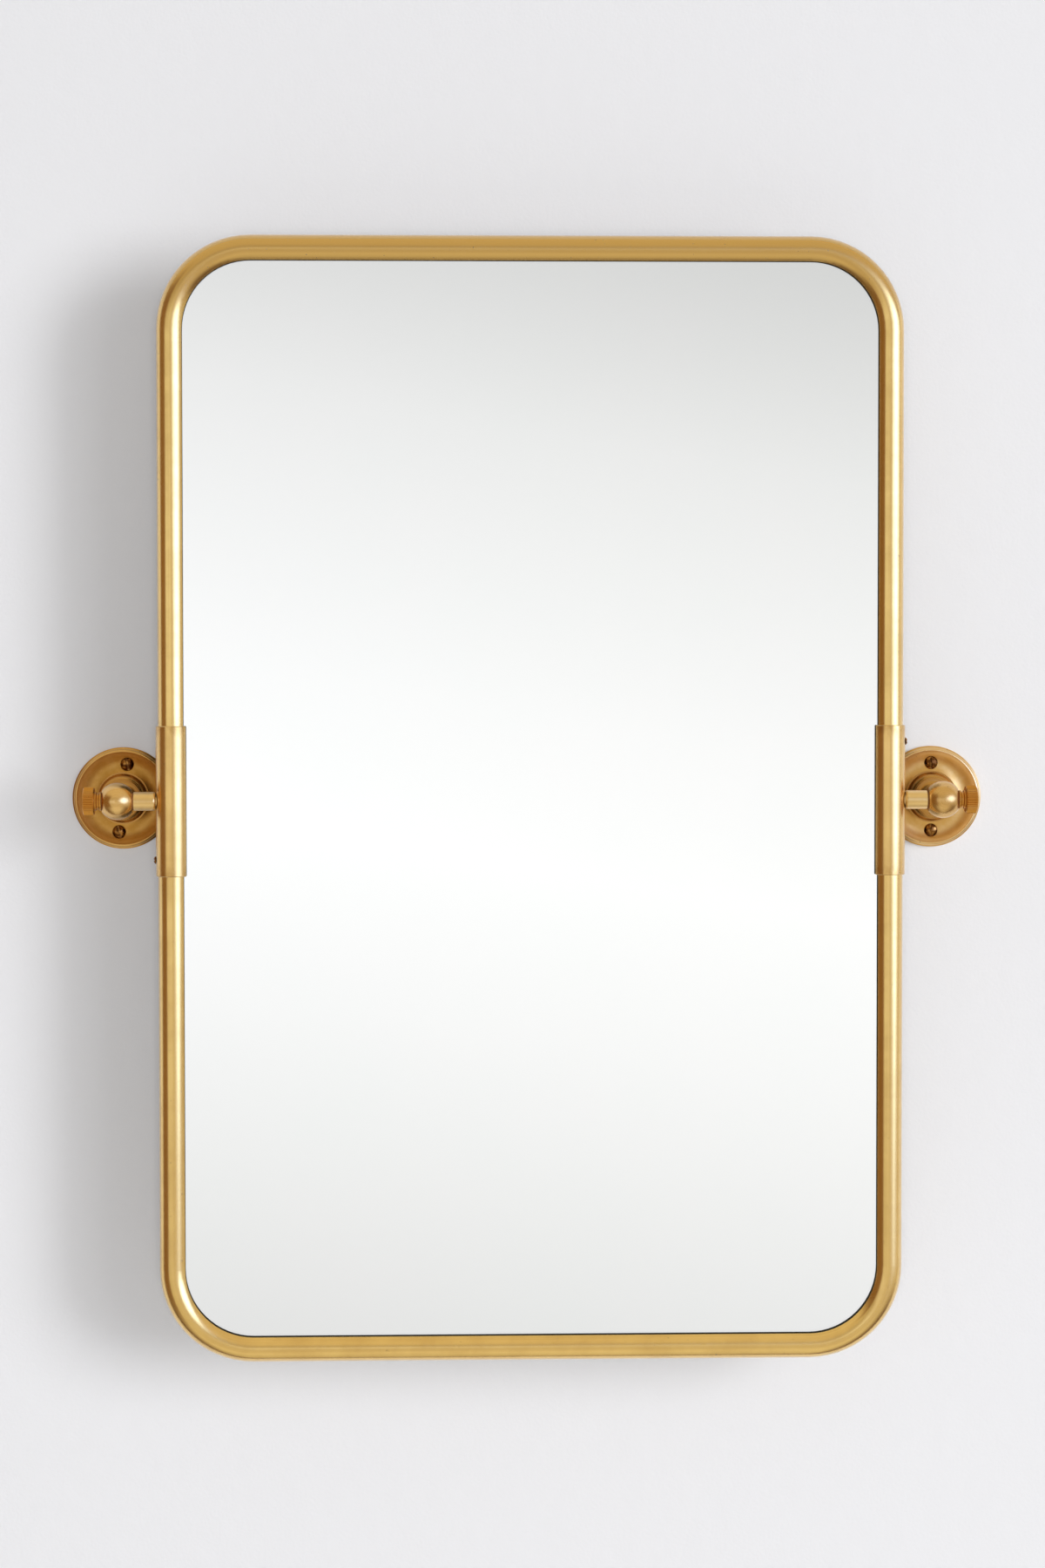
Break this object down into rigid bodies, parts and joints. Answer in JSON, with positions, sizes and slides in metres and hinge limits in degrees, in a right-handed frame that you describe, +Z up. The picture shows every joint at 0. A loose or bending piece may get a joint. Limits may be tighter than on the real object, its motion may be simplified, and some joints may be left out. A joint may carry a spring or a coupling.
{
  "type": "pivot wall mirror",
  "caption": "Portrait wall mirror in a round brass tube frame with rounded corners, which tilts between wall brackets and is clamped by knurled thumb screws.",
  "frame": {"origin": "on the wall plane, halfway between the centres of the wall flanges, at the height of the pivot axis", "axes": "+X to the right as seen from the front, +Y from the front into the wall, +Z up; the mirror faces -Y"},
  "size_m": [0.63, 0.1047, 0.762],
  "materials": {
    "tube_brass": "brushed along the tube, lightly aged",
    "turned_brass": "turned and brushed",
    "flange_brass": "turned, aged to a deeper tone",
    "knurled_brass": "straight knurled, aged",
    "screw_brass": "polished, darkened in the slots",
    "steel": "zinc plated",
    "fibre": "plain vulcanised fibre",
    "mirror": "silvered on the back",
    "board": "dark coated fibreboard"
  },
  "bodies": {
    "wall_brackets": {"left_flange": "flange_brass", "right_flange": "flange_brass", "left_post": "turned_brass", "right_post": "turned_brass", "left_post_screw": "steel", "right_post_screw": "steel", "left_wall_screws": "screw_brass", "right_wall_screws": "screw_brass"},
    "mirror": {"frame_upper_tube": "tube_brass", "frame_lower_tube": "tube_brass", "left_sleeve": "tube_brass", "right_sleeve": "tube_brass", "left_sleeve_screw": "screw_brass", "right_sleeve_screw": "screw_brass", "left_arm": "turned_brass", "right_arm": "turned_brass", "left_friction_washer": "fibre", "right_friction_washer": "fibre", "mirror_glass": "mirror", "backing_board": "board"},
    "left_washer": {"left_clamp_washer": "fibre"},
    "right_washer": {"right_clamp_washer": "fibre"},
    "left_screw": {"left_thumb_screw": "knurled_brass"},
    "right_screw": {"right_thumb_screw": "knurled_brass"}
  },
  "joints": [
    {"name": "mirror_tilt", "type": "hinge", "parent": "wall_brackets", "child": "mirror", "pos_m": [0, -0.06, 0], "axis": [1, 0, 0], "range_deg": [-7, 7]},
    {"name": "left_screw_feed", "type": "slide", "parent": "mirror", "child": "left_washer", "axis": [-1, 0, 0], "range_m": [0, 0.002]},
    {"name": "left_screw_turn", "type": "hinge", "parent": "left_washer", "child": "left_screw", "pos_m": [-0.28, -0.06, 0], "axis": [-1, 0, 0], "range_deg": [0, 720]},
    {"name": "right_screw_feed", "type": "slide", "parent": "mirror", "child": "right_washer", "axis": [1, 0, 0], "range_m": [0, 0.002]},
    {"name": "right_screw_turn", "type": "hinge", "parent": "right_washer", "child": "right_screw", "pos_m": [0.28, -0.06, 0], "axis": [1, 0, 0], "range_deg": [0, 720]}
  ],
  "couplings": [
    {"joint": "left_screw_turn", "follows": "left_screw_feed", "rad_per_m": 6283.2},
    {"joint": "right_screw_turn", "follows": "right_screw_feed", "rad_per_m": 6283.2}
  ]
}
